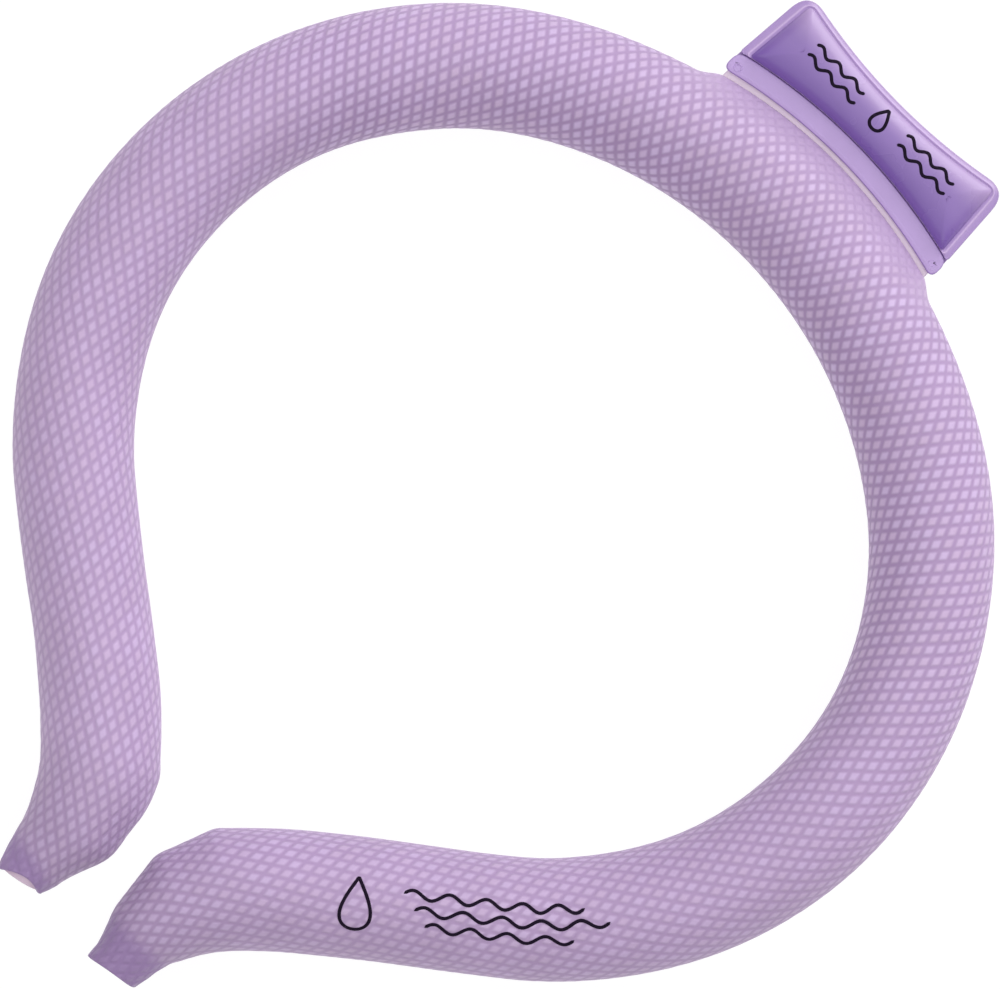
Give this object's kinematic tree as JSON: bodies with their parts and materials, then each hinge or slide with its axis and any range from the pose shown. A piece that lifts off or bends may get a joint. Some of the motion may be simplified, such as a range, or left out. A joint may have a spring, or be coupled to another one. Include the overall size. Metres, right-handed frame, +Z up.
{
  "type": "cooling neck ring",
  "caption": "Soft gel-filled cooling ring for the neck: an open round film tube with tapered ends at the mouth and a puffed welded tag at the back.",
  "frame": {"origin": "middle of the bounding box's bottom, on the surface that the ring lies on", "axes": "+Z up off the surface; +Y from the open mouth to the tag at the back; +X across the neck"},
  "size_m": [0.1684, 0.1946, 0.0205],
  "materials": {
    "printed_film": "satin printed film with a lattice of small lighter windows",
    "cooling_gel": "soft cloudy gel",
    "clear_film": "pale unprinted film",
    "welded_film": "satin welded film",
    "pouch_film": "glossy puffed film"
  },
  "bodies": {
    "root": {"film_sleeve": "printed_film", "gel_core": "cooling_gel", "left_end_plug": "clear_film", "right_end_plug": "clear_film", "seam_flange": "clear_film", "tag_back_film": "welded_film", "tag_front_film": "pouch_film", "tag_band": "welded_film"}
  },
  "joints": []
}
